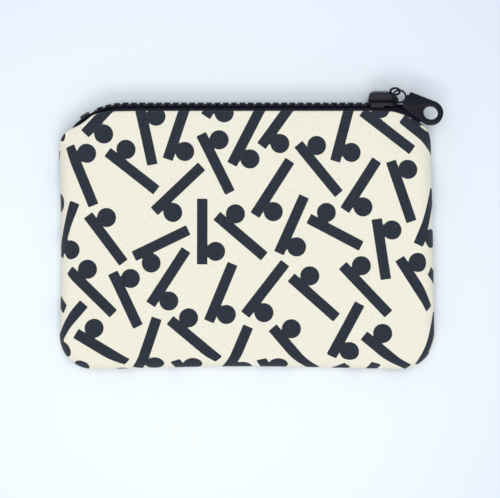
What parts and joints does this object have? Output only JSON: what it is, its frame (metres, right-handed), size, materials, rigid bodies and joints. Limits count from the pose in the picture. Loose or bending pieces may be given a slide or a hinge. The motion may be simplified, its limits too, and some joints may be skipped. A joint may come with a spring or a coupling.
{
  "type": "zippered pouch",
  "caption": "Small flat lined cloth pouch with a chunky moulded-tooth zipper along its top edge and a ring pull.",
  "frame": {"origin": "middle of the flat back face that the pouch lies on", "axes": "+X along the zipper towards its closed end, +Y towards the zipper, +Z out of the front panel"},
  "size_m": [0.145, 0.1068, 0.0142],
  "materials": {
    "printed_canvas": "matt woven canvas with a dark print",
    "lining_cotton": "plain woven cotton",
    "zip_tape": "ribbed woven tape",
    "zip_plastic": "satin moulded plastic",
    "zip_paint": "satin black enamel",
    "spring_steel": "bright spring steel",
    "sewing_thread": "polyester sewing thread"
  },
  "bodies": {
    "back": {"outer_back": "printed_canvas", "lining_back": "lining_cotton", "zip_tape_back": "zip_tape", "tape_cord_back": "zip_tape", "teeth_back": "zip_plastic", "bottom_stop": "zip_plastic", "top_stop_back": "zip_plastic", "zip_seam_back": "sewing_thread", "side_seam": "sewing_thread", "lining_seam": "sewing_thread"},
    "front": {"outer_front": "printed_canvas", "lining_front": "lining_cotton", "zip_tape_front": "zip_tape", "tape_cord_front": "zip_tape", "teeth_front": "zip_plastic", "top_stop_front": "zip_plastic", "zip_seam_front": "sewing_thread"},
    "slider": {"slider_body": "zip_paint", "slider_crown": "zip_paint", "lock_spring": "spring_steel"},
    "pull": {"pull_tab": "zip_paint"}
  },
  "joints": [
    {"name": "mouth_open", "type": "hinge", "parent": "back", "child": "front", "pos_m": [0, -0.0511, 0.0063], "axis": [1, 0, 0], "range_deg": [0, 20], "deforming": ["teeth_back", "teeth_front", "zip_tape_back", "zip_tape_front", "tape_cord_back", "tape_cord_front", "top_stop_front", "top_stop_back", "bottom_stop", "zip_seam_front"]},
    {"name": "slider_slide", "type": "slide", "parent": "back", "child": "slider", "axis": [-1, 0, 0], "range_m": [0, 0.096]},
    {"name": "pull_swing", "type": "hinge", "parent": "slider", "child": "pull", "pos_m": [0.0558, 0.05357, 0.00794], "axis": [0, -0.2756, 0.9613], "range_deg": [0, 105]}
  ],
  "couplings": [
    {"joint": "mouth_open", "follows": "slider_slide", "rad_per_m": 3.6}
  ]
}
